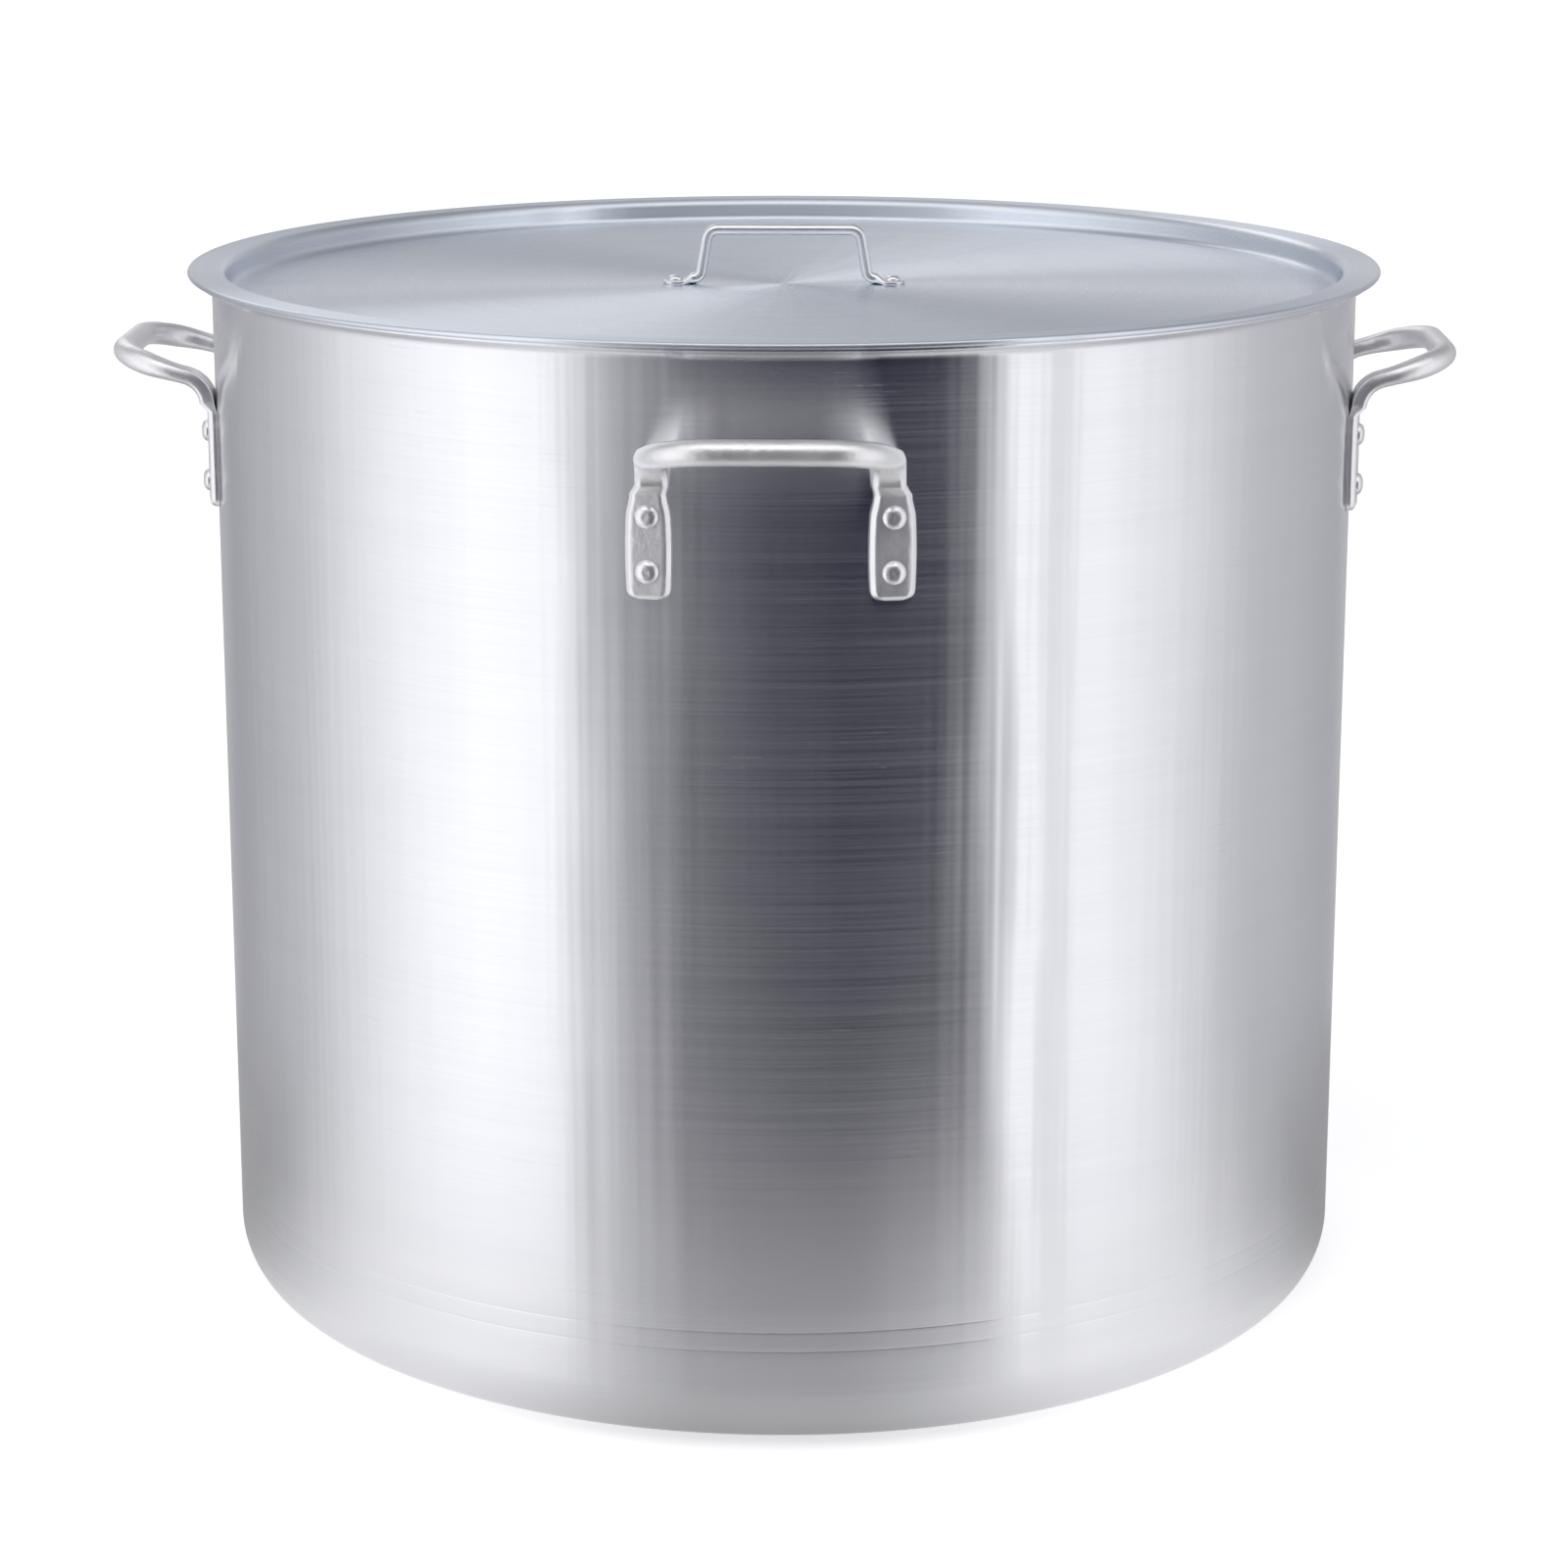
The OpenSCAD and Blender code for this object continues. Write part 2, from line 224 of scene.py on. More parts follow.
def slab_reach(angle, half_w, half_t, bevel):
    """Distance from a bar's middle to its outline: flat back, straight sides, bevelled front."""
    dx, dy = math.cos(angle), math.sin(angle)
    planes = [(1, 0, half_w), (-1, 0, half_w), (0, 1, half_t), (0, -1, half_t)]
    run = half_w + half_t - bevel * BEVEL_CUT
    planes += [(1, 1, run), (-1, 1, run)]
    return min(c / (nx * dx + ny * dy) for nx, ny, c in planes if nx * dx + ny * dy > FACING)


def section(half_w, half_t, square, bevel):
    """Outline of a bar: an ellipse at square = 0, a bevelled flat bar at square = 1."""
    points = []
    for i in range(RING_STEPS):
        a = 2 * math.pi * i / RING_STEPS
        ex, ey = half_w * math.cos(a), half_t * math.sin(a)
        slant = math.atan2(ey, ex)
        reach = slab_reach(slant, half_w, half_t, bevel)
        sx, sy = reach * math.cos(slant), reach * math.sin(slant)
        points.append((ex + (sx - ex) * square, ey + (sy - ey) * square))
    return points


def sweep(name, stations, keep_out=0.0):
    """Skins a bar through stations of (centre, wide axis, thick axis, half_w, half_t, square, bevel).

    A point nearer to the Z axis than keep_out is pushed out to it, so the bar seats on the wall.
    """
    verts = []
    for centre, wide, thick, half_w, half_t, square, bevel in stations:
        for u, v in section(half_w, half_t, square, bevel):
            p = centre + wide * u + thick * v
            flat = math.hypot(p.x, p.y)
            if flat < keep_out:
                p.x *= keep_out / flat
                p.y *= keep_out / flat
            verts.append(p)
    faces = []
    for s in range(len(stations) - 1):
        for i in range(RING_STEPS):
            j = (i + 1) % RING_STEPS
            a, b = s * RING_STEPS, (s + 1) * RING_STEPS
            faces.append((a + i, a + j, b + j, b + i))
    last = (len(stations) - 1) * RING_STEPS
    faces.append(tuple(reversed(range(RING_STEPS))))
    faces.append(tuple(range(last, last + RING_STEPS)))
    return make_mesh(name, verts, faces)


def mirrored(stations, flip):
    """The other half of a bar, in reverse order. Each ring still starts on the same side of the bar."""
    result = []
    for centre, wide, thick, *rest in reversed(stations):
        result.append((centre * flip, wide * flip, thick * flip, *rest))
    return result


def fix_normals(obj):
    work = bmesh.new()
    work.from_mesh(obj.data)
    bmesh.ops.recalc_face_normals(work, faces=work.faces)
    work.to_mesh(obj.data)
    work.free()


def place(obj, matrix, body, node, material):
    """Bakes obj into the frame, gives it its finish and lets it stand for its CAD node."""
    obj.data.transform(matrix)
    fix_normals(obj)
    obj.data.materials.append(material)
    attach(obj, body)
    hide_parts(node)


# ---------- shader nodes ----------

def add_node(tree, kind, inputs=None, **settings):
    """Adds a shader node. An input's value is a number, a colour or another node's output."""
    node = tree.nodes.new("ShaderNode" + kind)
    for name, value in settings.items():
        setattr(node, name, value)
    for key, value in (inputs or {}).items():
        if isinstance(value, bpy.types.NodeSocket):
            tree.links.new(value, node.inputs[key])
        else:
            node.inputs[key].default_value = value
    return node


def math_node(tree, operation, a, b=0.0):
    return add_node(tree, "Math", {0: a, 1: b}, operation=operation).outputs[0]


def axes(tree, vector):
    """A vector's X, Y and Z."""
    return add_node(tree, "SeparateXYZ", {0: vector}).outputs


def unit_vector(tree, vector):
    return add_node(tree, "VectorMath", {0: vector}, operation="NORMALIZE").outputs[0]


def noise(tree, vector, scale=1.0, detail=4.0, roughness=0.6):
    inputs = {"Vector": vector, "Scale": scale, "Detail": detail, "Roughness": roughness}
    return add_node(tree, "TexNoise", inputs).outputs["Fac"]


def remap(tree, value, low=0.0, high=1.0, from_low=0.3, from_high=0.7, kind="LINEAR"):
    """Takes from_low..from_high to low..high, and holds the ends."""
    inputs = {"Value": value, "From Min": from_low, "From Max": from_high, "To Min": low, "To Max": high}
    return add_node(tree, "MapRange", inputs, interpolation_type=kind).outputs[0]


def ease(tree, value, span, low=0.0, high=1.0):
    """From low to high as value goes from the span's first number to its second, on an S-shaped curve."""
    return remap(tree, value, low, high, *span, kind="SMOOTHSTEP")


def mix_colours(tree, factor, a, b):
    return add_node(tree, "Mix", {0: factor, 6: a, 7: b}, data_type="RGBA").outputs[2]


def bump(tree, height, distance, strength, under=None):
    """Relief from a height, on top of the relief under it."""
    inputs = {"Height": height, "Distance": distance, "Strength": strength}
    if under is not None:
        inputs["Normal"] = under
    return add_node(tree, "Bump", inputs).outputs[0]


def new_material(name):
    material = bpy.data.materials.new(name)
    material.use_nodes = True
    tree = material.node_tree
    return material, tree, tree.nodes["Principled BSDF"].inputs


# ---------- metals ----------

SCUFF_ROUGHNESS = 0.06
SCUFF_RELIEF = 0.12


def turned_coordinates(tree, along, around):
    """Texture space of a turned part: fine along its profile, stretched around its axis."""
    x, y, z = axes(tree, add_node(tree, "TexCoord").outputs["Object"])
    flat = add_node(tree, "CombineXYZ", {"X": x, "Y": y}).outputs[0]
    radius = add_node(tree, "VectorMath", {0: flat}, operation="LENGTH").outputs["Value"]
    turn_x, turn_y, _ = axes(tree, unit_vector(tree, flat))
    stretched = {
        "X": math_node(tree, "MULTIPLY", turn_x, around),
        "Y": math_node(tree, "MULTIPLY", turn_y, around),
        "Z": math_node(tree, "MULTIPLY", math_node(tree, "SUBTRACT", radius, z), along),
    }
    return add_node(tree, "CombineXYZ", stretched).outputs[0]


def turned_metal(name, dark, light, rough, line_strength, wave_strength):
    """Spun and polished aluminium: turning lines around the axis, sparse scratches, faint waves."""
    material, tree, shader = new_material(name)
    shader["Metallic"].default_value = 1.0
    shader["Anisotropic"].default_value = 1.0
    shader["Anisotropic Rotation"].default_value = 0.25
    tangent = add_node(tree, "Tangent", direction_type="RADIAL", axis="Z")
    fine = noise(tree, turned_coordinates(tree, along=900, around=1.5))
    broad = noise(tree, turned_coordinates(tree, along=60, around=2.0), detail=3.0)
    scratch = noise(tree, turned_coordinates(tree, along=520, around=7.0), detail=2.0)
    patch = noise(tree, turned_coordinates(tree, along=11, around=5.0), detail=2.0)
    wave = noise(tree, turned_coordinates(tree, along=7, around=4.0), detail=1.0)
    streak = noise(tree, turned_coordinates(tree, along=1.3, around=17.0), detail=2.0)
    cut = remap(tree, scratch, from_low=0.63, from_high=0.7)
    scuffed = math_node(tree, "MULTIPLY", cut, remap(tree, patch, from_low=0.54, from_high=0.68))
    worn = math_node(tree, "MULTIPLY", scuffed, SCUFF_ROUGHNESS)
    waves = bump(tree, wave, 4 * MM, wave_strength)
    streaks = bump(tree, streak, 1 * MM, wave_strength, under=waves)
    scuffs = bump(tree, scuffed, 0.2 * MM, SCUFF_RELIEF, under=streaks)
    relief = bump(tree, fine, 0.2 * MM, line_strength, under=scuffs)
    tree.links.new(tangent.outputs[0], shader["Tangent"])
    tree.links.new(mix_colours(tree, broad, dark, light), shader["Base Color"])
    tree.links.new(math_node(tree, "ADD", remap(tree, fine, *rough), worn), shader["Roughness"])
    tree.links.new(relief, shader["Normal"])
    return material


def cast_metal(name, dark, light, rough, grain, metallic=1.0):
    """Satin-polished aluminium: soft grain, small dents and uneven polish."""
    material, tree, shader = new_material(name)
    shader["Metallic"].default_value = metallic
    where = add_node(tree, "TexCoord").outputs["Object"]
    cloud = noise(tree, where, scale=60)
    fine = noise(tree, where, scale=1400, detail=3.0)
    dents = noise(tree, where, scale=220, detail=2.0)
    dented = bump(tree, dents, 0.6 * MM, grain)
    tree.links.new(mix_colours(tree, cloud, dark, light), shader["Base Color"])
    tree.links.new(remap(tree, cloud, *rough), shader["Roughness"])
    tree.links.new(bump(tree, fine, 0.1 * MM, grain, under=dented), shader["Normal"])
    return material


pot_metal = turned_metal("pot_aluminium", dark=(0.85, 0.855, 0.885, 1), light=(0.9, 0.9, 0.925, 1),
                         rough=(0.22, 0.27), line_strength=0.04, wave_strength=0.3)
lid_metal = turned_metal("lid_aluminium", dark=(0.755, 0.805, 0.875, 1), light=(0.825, 0.865, 0.93, 1),
                         rough=(0.26, 0.32), line_strength=0.03, wave_strength=0.12)
handle_metal = cast_metal("handle_aluminium", dark=(0.88, 0.88, 0.89, 1), light=(0.97, 0.97, 0.975, 1),
                          rough=(0.3, 0.43), grain=0.4, metallic=0.82)
rivet_metal = cast_metal("rivet_aluminium", dark=(0.86, 0.86, 0.88, 1), light=(0.96, 0.96, 0.97, 1),
                         rough=(0.24, 0.34), grain=0.6, metallic=0.85)
rod_metal = cast_metal("rod_aluminium", dark=(0.84, 0.86, 0.89, 1), light=(0.92, 0.93, 0.95, 1),
                       rough=(0.3, 0.4), grain=0.2)
lid_rivet_metal = cast_metal("lid_rivet_aluminium", dark=(0.86, 0.87, 0.9, 1), light=(0.94, 0.94, 0.96, 1),
                             rough=(0.2, 0.3), grain=0.4)


# ---------- pot and lid ----------

def groove(z):
    """A shallow turned ring in the wall, centred on z."""
    points = []
    steps = 8
    for i in range(steps + 1):
        t = i / steps
        depth = GROOVE_DEPTH * math.sin(math.pi * t) ** 2
        points.append((WALL_R - depth, z + GROOVE_W * (t - 0.5)))
    return points


def pot_profile():
    """From the base's centre out, up the wall's outside, over the rim and down the inside."""
    inner_r = WALL_R - WALL_T
    corner_x = WALL_R - CORNER_R
    under_z = RIM_Z - RIM_T
    foot = [(0, 0), *line((0, 0), (corner_x, 0), steps=12)]
    corner = arc(corner_x, CORNER_R, CORNER_R, -90, 0, steps=24)
    wall = []
    low = (WALL_R, CORNER_R)
    for z in GROOVE_Z:
        wall += line(low, (WALL_R, z - GROOVE_W / 2), steps=4) + groove(z)
        low = (WALL_R, z + GROOVE_W / 2)
    wall += line(low, (WALL_R, under_z - RIM_FILLET_R), steps=40)
    fillet = arc(WALL_R + RIM_FILLET_R, under_z - RIM_FILLET_R, RIM_FILLET_R, 180, 90)
    edge = arc(POT_RIM_R - RIM_T / 2, RIM_Z - RIM_T / 2, RIM_T / 2, -90, 90)
    bend = arc(inner_r + RIM_BEND_R, RIM_Z - RIM_BEND_R, RIM_BEND_R, 90, 180)
    inside = line((inner_r, RIM_Z - RIM_BEND_R), (inner_r, CORNER_R), steps=40)
    inner_corner = arc(corner_x, CORNER_R + BASE_T - WALL_T, CORNER_R - WALL_T, 0, -90, steps=24)
    floor = [*line((corner_x, BASE_T), (0, BASE_T), steps=12), (0, BASE_T)]
    return foot + corner + wall + fillet + edge + bend + inside + inner_corner + floor


def lid_profile():
    """From the panel's centre out along the underside, round the bead and back over the top."""
    inner_r = DISH_R - LID_T
    panel_r = inner_r - PANEL_BEND_R
    bend_x = DISH_R + FLANGE_BEND_R
    bend_z = RIM_Z - FLANGE_BEND_R
    low_z = PANEL_Z - LID_T
    bead_x = LID_R - BEAD_R
    under = [(0, low_z), *line((0, low_z), (panel_r, low_z), steps=24)]
    low_bend = arc(panel_r, PANEL_Z + PANEL_BEND_R, PANEL_BEND_R + LID_T, -90, 0)
    low_flange = arc(bend_x, bend_z, FLANGE_BEND_R, 180, 90)
    flange_low = line((bend_x, RIM_Z), (bead_x - BEAD_R, RIM_Z), steps=4)
    bead = arc(bead_x, LID_TOP_Z - BEAD_R, BEAD_R, 200, 450, steps=20)
    flange_top = line((bead_x, LID_TOP_Z), (bend_x, LID_TOP_Z), steps=6)
    top_bend = arc(bend_x, bend_z, FLANGE_BEND_R + LID_T, 90, 180)
    top_corner = arc(panel_r, PANEL_Z + PANEL_BEND_R, PANEL_BEND_R, 0, -90)
    panel = [*line((panel_r, PANEL_Z), (0, PANEL_Z), steps=40), (0, PANEL_Z)]
    return under + low_bend + low_flange + flange_low + bead + flange_top + top_bend + top_corner + panel


def add_shells():
    pot = lathe("pot_shell", pot_profile(), TURN_STEPS)
    place(pot, STILL, "pot", "pot_body", pot_metal)
    lid = lathe("lid_shell", lid_profile(), TURN_STEPS)
    place(lid, STILL, "lid", "lid", lid_metal)


# ---------- side handles ----------

def paddle_stations():
    """From the paddle's lower end up to its neck, on the +Y side."""
    out = Vector((math.cos(PADDLE_ANGLE), math.sin(PADDLE_ANGLE), 0))
    wide = Vector((-out.y, out.x, 0))
    height = PADDLE_NECK_Z - PADDLE_LOW_Z
    stations = []
    steps = 40
    for i in range(steps + 1):
        rise = height * (i / steps) ** PADDLE_CROWDING
        z = PADDLE_LOW_Z + rise
        half_w = PADDLE_W / 2 * (1 - PADDLE_BELLY * (rise / height - PADDLE_WIDEST) ** 2)
        half_t = PADDLE_T / 2
        if rise < PADDLE_CORNER_R:
            above = PADDLE_CORNER_R - rise
            cut = PADDLE_CORNER_R - math.sqrt(PADDLE_CORNER_R ** 2 - above ** 2)
            half_w -= PADDLE_CORNER_DEPTH * cut
        if rise < PADDLE_T / 2:
            half_t *= PADDLE_END_T + (1 - PADDLE_END_T) * smooth(2 * rise / PADDLE_T)
        pinch = smooth((z - RIVET_HIGH_Z) / (PADDLE_NECK_Z - RIVET_HIGH_Z))
        half_w += (LEG_W / 2 + PADDLE_NECK_EXTRA - half_w) * pinch
        centre = out * (WALL_R + half_t) + Vector((0, 0, z))
        stations.append((centre, wide, out, half_w, half_t, 1.0, PADDLE_BEVEL))
    return stations


def bend_stations():
    """The bend from the wall to the leg's slope."""
    leg_x = math.sqrt(WALL_R ** 2 - HALF_HANDLE_W ** 2) + LEG_T / 2 - LEG_BITE
    stations = []
    steps = 14
    for i in range(1, steps + 1):
        t = i / steps
        a = (QUARTER - LEG_RISE) * t
        thick = Vector((math.cos(a), 0, -math.sin(a)))
        centre = Vector((leg_x + LEG_BEND_R * (1 - math.cos(a)), HALF_HANDLE_W,
                         LEG_BEND_Z + LEG_BEND_R * math.sin(a)))
        half_w = LEG_W / 2 * (1 - LEG_NARROWING * t)
        half_t = LEG_T / 2 * (1 + LEG_THICKENING * t)
        square = 1 - (1 - LEG_SQUARE) * t
        stations.append((centre, ALONG_Y, thick, half_w, half_t, square, PADDLE_BEVEL))
    return stations


def leg_stations(start, low_w, low_t):
    """The leg from start and the corner, up to the straight grip. The bar turns round on the way."""
    along = Vector((math.cos(LEG_RISE), 0, math.sin(LEG_RISE)))
    thick = Vector((math.sin(LEG_RISE), 0, -math.cos(LEG_RISE)))
    straight = (GRIP_X - start.x) / math.cos(LEG_RISE) - GRIP_CORNER_R
    taper = straight + GRIP_CORNER_R * GRIP_TAPER

    def bar_at(travelled):
        t = smooth(travelled / taper)
        half_w = low_w + (GRIP_R - low_w) * t
        half_t = low_t + (GRIP_R - low_t) * t
        return half_w, half_t, LEG_SQUARE * (1 - t), PADDLE_BEVEL

    stations = []
    steps = 4
    for i in range(1, steps + 1):
        travelled = straight * i / steps
        stations.append((start + along * travelled, ALONG_Y, thick, *bar_at(travelled)))
    corner = start + along * straight - ALONG_Y * GRIP_CORNER_R
    steps = 20
    for i in range(1, steps + 1):
        a = QUARTER * i / steps
        wide = ALONG_Y * math.cos(a) + along * math.sin(a)
        travelled = straight + GRIP_CORNER_R * a
        stations.append((corner + wide * GRIP_CORNER_R, wide, thick, *bar_at(travelled)))
    return stations


def side_handle(name):
    bend = bend_stations()
    start, _, _, low_w, low_t, *_ = bend[-1]
    half = paddle_stations() + bend + leg_stations(start, low_w, low_t)
    return sweep(name, half + mirrored(half, Vector((1, -1, 1))), WALL_R + SEAT_GAP)


def rivet_profile(r, length, head_r, head_h, tail_r, tail_h):
    """A domed head with a small set edge, the shank, and a flatter tail head."""
    steps = 14
    angles = [QUARTER * i / steps for i in range(steps + 1)]
    head = []
    for a in angles:
        dimple = RIVET_DIMPLE * head_h * math.exp(-((math.cos(a) * RIVET_DIMPLE_FALL) ** 2))
        top = head_h * (RIVET_EDGE + (1 - RIVET_EDGE) * math.sin(a)) - dimple
        head.append((head_r * math.cos(a), length + top))
    head[-1] = (0, head[-1][1])
    tail = [(tail_r * math.sin(a), -tail_h * math.cos(a)) for a in angles]
    return tail + [(r, 0), (r, length), (head_r, length)] + head


def add_side_handle(side_name, degrees):
    """The loop and its four rivets, which run from inside the wall out through the paddles."""
    turn = Matrix.Rotation(math.radians(degrees), 4, "Z")
    handle = side_handle(f"loop_handle_{side_name}")
    place(handle, turn, "pot", f"handle_{side_name}", handle_metal)
    seat = math.sqrt((WALL_R - WALL_T) ** 2 - RIVET_TAIL_R ** 2)
    length = WALL_R + PADDLE_T - seat
    profile = rivet_profile(RIVET_R, length, RIVET_HEAD_R, RIVET_HEAD_H, RIVET_TAIL_R, RIVET_TAIL_H)
    for hand, sign in HANDS.items():
        lean = Matrix.Rotation(sign * PADDLE_ANGLE, 4, "Z")
        for level, z in (("upper", RIVET_HIGH_Z), ("lower", RIVET_LOW_Z)):
            label = f"{side_name}_{hand}_{level}"
            where = turn @ lean @ Matrix.Translation((seat, 0, z)) @ OUTWARD
            rivet = lathe(f"wall_rivet_{label}", profile, RIVET_STEPS)
            place(rivet, where, "pot", f"rivet_{label}", rivet_metal)


# ---------- lid handle ----------

def lid_foot_stations(foot_x):
    """From the foot's rounded end, past the rivet, to where the rod bends up at foot_x."""
    stations = []
    end_r = LID_FOOT_W / 2
    half_t = LID_FOOT_T / 2
    steps = 12
    for i in range(steps + 1):
        a = QUARTER * i / steps
        centre = Vector((LID_RIVET_X + end_r * math.cos(a), 0, half_t))
        half_w = max(end_r * math.sin(a), LID_FOOT_TIP)
        stations.append((centre, ALONG_Y, UP, half_w, half_t, LID_FOOT_SQUARE, LID_FOOT_BEVEL))
    for i in range(1, steps + 1):
        t = i / steps
        blend = smooth((t - LID_FOOT_FLAT) / (1 - LID_FOOT_FLAT))
        half_w = end_r + (LID_ROD_R - end_r) * blend
        thick = half_t + (LID_ROD_R - half_t) * blend
        square = LID_FOOT_SQUARE * (1 - blend)
        centre = Vector((LID_RIVET_X + (foot_x - LID_RIVET_X) * t, 0, thick))
        stations.append((centre, ALONG_Y, UP, half_w, thick, square, LID_FOOT_BEVEL))
    return stations


def lid_leg_stations():
    """The foot, the leg and the corner, up to the straight grip, on the +X side."""
    top_x = LID_HALF_W - LID_CORNER_R + LID_CORNER_R * math.cos(LID_LEAN)
    top_z = LID_GRIP_Z - LID_CORNER_R + LID_CORNER_R * math.sin(LID_LEAN)
    low_z = LID_ROD_R + LID_FOOT_BEND_R * (1 - math.sin(LID_LEAN))
    low_x = top_x + (top_z - low_z) * math.tan(LID_LEAN)
    foot_x = low_x + LID_FOOT_BEND_R * math.cos(LID_LEAN)
    stations = lid_foot_stations(foot_x)
    steps = 10
    bend = Vector((foot_x, 0, LID_ROD_R + LID_FOOT_BEND_R))
    for i in range(1, steps + 1):
        a = -QUARTER - (QUARTER - LID_LEAN) * i / steps
        ray = Vector((math.cos(a), 0, math.sin(a)))
        stations.append((bend + ray * LID_FOOT_BEND_R, ALONG_Y, -ray, LID_ROD_R, LID_ROD_R, 0, 0))
    corner = Vector((LID_HALF_W - LID_CORNER_R, 0, LID_GRIP_Z - LID_CORNER_R))
    for i in range(steps + 1):
        a = LID_LEAN + (QUARTER - LID_LEAN) * i / steps
        ray = Vector((math.cos(a), 0, math.sin(a)))
        stations.append((corner + ray * LID_CORNER_R, ALONG_Y, ray, LID_ROD_R, LID_ROD_R, 0, 0))
    return stations


def add_lid_handle():
    """The bent rod on the panel, and the rivet through each of its feet."""
    half = lid_leg_stations()
    rod = sweep("lid_bar", half + mirrored(half, Vector((-1, 1, 1))))
    on_panel = Matrix.Translation((0, 0, PANEL_Z))
    place(rod, on_panel, "lid", "lid_handle", rod_metal)
    profile = rivet_profile(LID_RIVET_R, LID_T + LID_FOOT_T, LID_RIVET_HEAD_R, LID_RIVET_HEAD_H,
                            LID_RIVET_HEAD_R, LID_RIVET_TAIL_H)
    for hand, sign in HANDS.items():
        where = Matrix.Translation((sign * LID_RIVET_X, 0, PANEL_Z - LID_T))
        rivet = lathe(f"bar_rivet_{hand}", profile, RIVET_STEPS)
        place(rivet, where, "lid", f"lid_rivet_{hand}", lid_rivet_metal)


# ---------- studio ----------

CAMERA_TURN = math.radians(1.2)
CAMERA_DISTANCE = 2.2334
CAMERA_HEIGHT = 0.8353
CAMERA_PITCH = math.radians(14.22)
CAMERA_LENS = 95.44
CAMERA_SENSOR = 36

# Brightness of the room around the pot: degrees from the front, positive to the right.
# Large soft lights stand left and right, with a dark gap between them in front of the pot.
ROOM = [(-180, 0.62), (-145, 0.37), (-112, 0.6), (-85, 1.02), (-62, 1.22), (-46, 1.14),
        (-34, 0.46), (-16, 0.11), (0, 0.03), (14, 0.0), (30, 0.01), (36, 0.08), (43, 0.36),
        (49, 1.25), (52, 1.1), (56, 0.7), (60, 1.05), (66, 1.08), (84, 0.9), (105, 0.6),
        (150, 0.42), (180, 0.62)]
ROOM_RED = 0.985
ROOM_GREEN = 0.99
ROOM_EXTRA_BLUE = 0.02
WHITE = (1, 1, 1, 1)

# Each level sets in over a span of the direction's z, of its forward share for OVERHEAD_FRONT_SPAN,
# and of the cosine of its angle to the lamp for BACK_LAMP_SPAN.
FLOOR_GLOW = 0.15
FLOOR_TINT = 1.02
FLOOR_SPAN = (-0.55, -0.95)
UPPER_LEVEL = 0.6
UPPER_SPAN = (0.3, 0.65)
OVERHEAD_GLOW = 1.5
OVERHEAD_SPAN = (0.45, 0.75)
OVERHEAD_FRONT_SPAN = (-0.1, 0.45)
BACK_LAMP = (-0.34, 0.76, 0.55)
BACK_LAMP_GLOW = 1.3
BACK_LAMP_SPAN = (0.93, 0.99)

FLOOR_HALF = 12.0
FLOOR_DROP = 0.5 * MM
FLOOR_EMISSION = 0.45

# A span on the disc is of the distance sideways, or backwards, as a share of that from the centre.
STAGE_R = 0.62
STAGE_DROP = 0.2 * MM
STAGE_GLOW_FRONT = 0.41
STAGE_GLOW_SIDES = 0.83
STAGE_SIDE_SPAN = (0.1, 0.65)
STAGE_FADE_BEHIND = 0.35
STAGE_FADE_SPAN = (0.2, -0.65)


def add_camera():
    data = bpy.data.cameras.new("camera")
    data.lens = CAMERA_LENS
    data.sensor_width = CAMERA_SENSOR
    camera = bpy.data.objects.new("camera", data)
    bpy.context.scene.collection.objects.link(camera)
    camera.location = (CAMERA_DISTANCE * math.sin(CAMERA_TURN),
                       -CAMERA_DISTANCE * math.cos(CAMERA_TURN), CAMERA_HEIGHT)
    camera.rotation_euler = (QUARTER - CAMERA_PITCH, 0, CAMERA_TURN)
    bpy.context.scene.camera = camera


def grey(level, blue=1.0):
    return (level, level, level * blue, 1)


def room_bands(tree, x, ahead):
    """The room's brightness by its direction around the pot."""
    angle = math_node(tree, "ARCTAN2", x, ahead)
    turn = math_node(tree, "DIVIDE", angle, 2 * math.pi)
    ramp = add_node(tree, "ValToRGB", {0: math_node(tree, "ADD", turn, 0.5)})
    ramp.color_ramp.interpolation = "LINEAR"
    stops = ramp.color_ramp.elements
    for i, (degrees, level) in enumerate(ROOM):
        at = degrees / 360 + 0.5
        stop = stops[i] if i < 2 else stops.new(at)
        stop.position = at
        stop.color = (level * ROOM_RED, level * ROOM_GREEN, level + ROOM_EXTRA_BLUE, 1)
    return ramp.outputs[0]


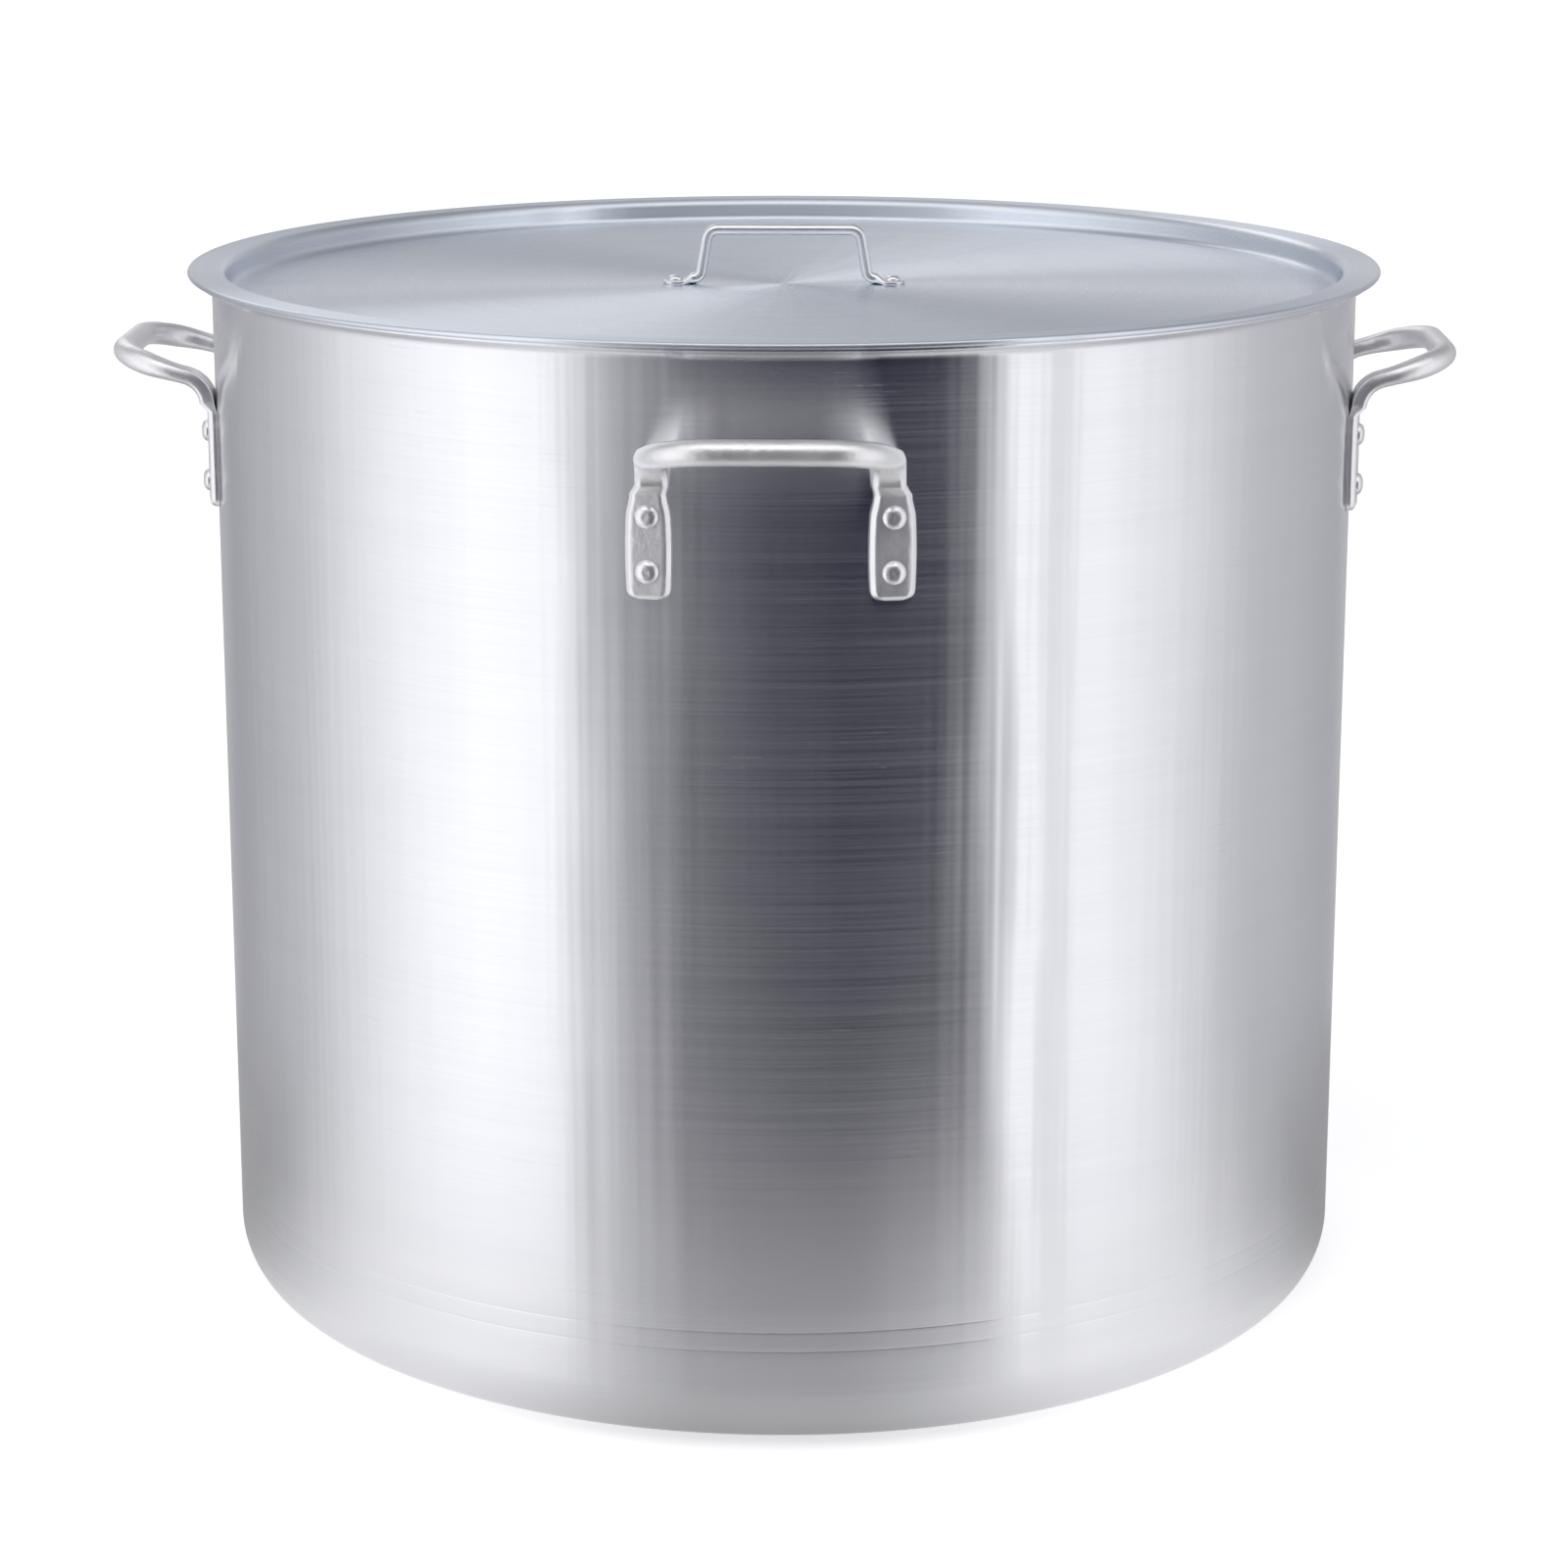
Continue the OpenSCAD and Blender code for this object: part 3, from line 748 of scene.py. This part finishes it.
def add_room():
    """The world: the bands, a dim lower end, an overhead light in front and a lamp at the back.

    The camera itself sees plain white in its place.
    """
    world = bpy.data.worlds.new("room")
    bpy.context.scene.world = world
    world.use_nodes = True
    tree = world.node_tree
    direction = add_node(tree, "TexCoord").outputs["Generated"]
    x, y, z = axes(tree, direction)
    ahead = math_node(tree, "MULTIPLY", y, -1)
    upper = ease(tree, z, UPPER_SPAN, 1.0, UPPER_LEVEL)
    bands = add_node(tree, "VectorMath", {0: room_bands(tree, x, ahead), "Scale": upper}, operation="SCALE")
    low = ease(tree, z, FLOOR_SPAN)
    lit = mix_colours(tree, low, bands.outputs[0], grey(FLOOR_GLOW, FLOOR_TINT))
    high = ease(tree, z, OVERHEAD_SPAN)
    overhead = math_node(tree, "MULTIPLY", high, ease(tree, ahead, OVERHEAD_FRONT_SPAN))
    topped = mix_colours(tree, overhead, lit, grey(OVERHEAD_GLOW))
    towards = add_node(tree, "VectorMath", {0: direction, 1: BACK_LAMP}, operation="DOT_PRODUCT")
    lamp = ease(tree, towards.outputs["Value"], BACK_LAMP_SPAN)
    lamped = mix_colours(tree, lamp, topped, grey(BACK_LAMP_GLOW))
    for_camera = add_node(tree, "LightPath").outputs["Is Camera Ray"]
    room = tree.nodes["Background"]
    tree.links.new(lamped, room.inputs["Color"])
    backdrop = add_node(tree, "Background", {"Color": WHITE})
    chosen = add_node(tree, "MixShader", {0: for_camera, 1: room.outputs[0], 2: backdrop.outputs[0]})
    tree.links.new(chosen.outputs[0], tree.nodes["World Output"].inputs["Surface"])


def add_floor():
    """A pale floor. Shiny parts don't mirror it: they mirror the room's lower half and the disc."""
    size = FLOOR_HALF
    floor = make_mesh("floor", [(-size, -size, 0), (size, -size, 0), (size, size, 0), (-size, size, 0)],
                      [(0, 1, 2, 3)])
    material, _, shader = new_material("floor_pale")
    shader["Base Color"].default_value = (0.96, 0.96, 0.965, 1)
    shader["Roughness"].default_value = 0.9
    shader["Emission Color"].default_value = WHITE
    shader["Emission Strength"].default_value = FLOOR_EMISSION
    floor.data.materials.append(material)
    floor.location.z = -FLOOR_DROP
    floor.visible_glossy = False


def add_stage():
    """A glowing disc under the pot that only reflections see, so the wall's base mirrors a lit floor.

    It is bright to the left and right, where the room's lights are, and darker in front. It fades
    towards the back.
    """
    steps = 96
    angles = [2 * math.pi * i / steps for i in range(steps)]
    ring = [(STAGE_R * math.cos(a), STAGE_R * math.sin(a), 0) for a in angles]
    disc = make_mesh("stage_disc", ring, [tuple(range(steps))])
    material, tree, shader = new_material("stage_glow")
    shader["Base Color"].default_value = (0, 0, 0, 1)
    shader["Emission Color"].default_value = (0.99, 0.99, 1, 1)
    x, y, _ = axes(tree, unit_vector(tree, add_node(tree, "TexCoord").outputs["Object"]))
    sideways = math_node(tree, "ABSOLUTE", x)
    glow = ease(tree, sideways, STAGE_SIDE_SPAN, STAGE_GLOW_FRONT, STAGE_GLOW_SIDES)
    fade = ease(tree, y, STAGE_FADE_SPAN, STAGE_FADE_BEHIND, 1.0)
    tree.links.new(math_node(tree, "MULTIPLY", glow, fade), shader["Emission Strength"])
    disc.data.materials.append(material)
    disc.location.z = -STAGE_DROP
    disc.visible_camera = False
    disc.visible_diffuse = False
    disc.visible_shadow = False


add_shells()
for side_name, degrees in SIDES.items():
    add_side_handle(side_name, degrees)
add_lid_handle()

bpy.context.scene.view_settings.view_transform = "Standard"
add_camera()
add_room()
add_floor()
add_stage()
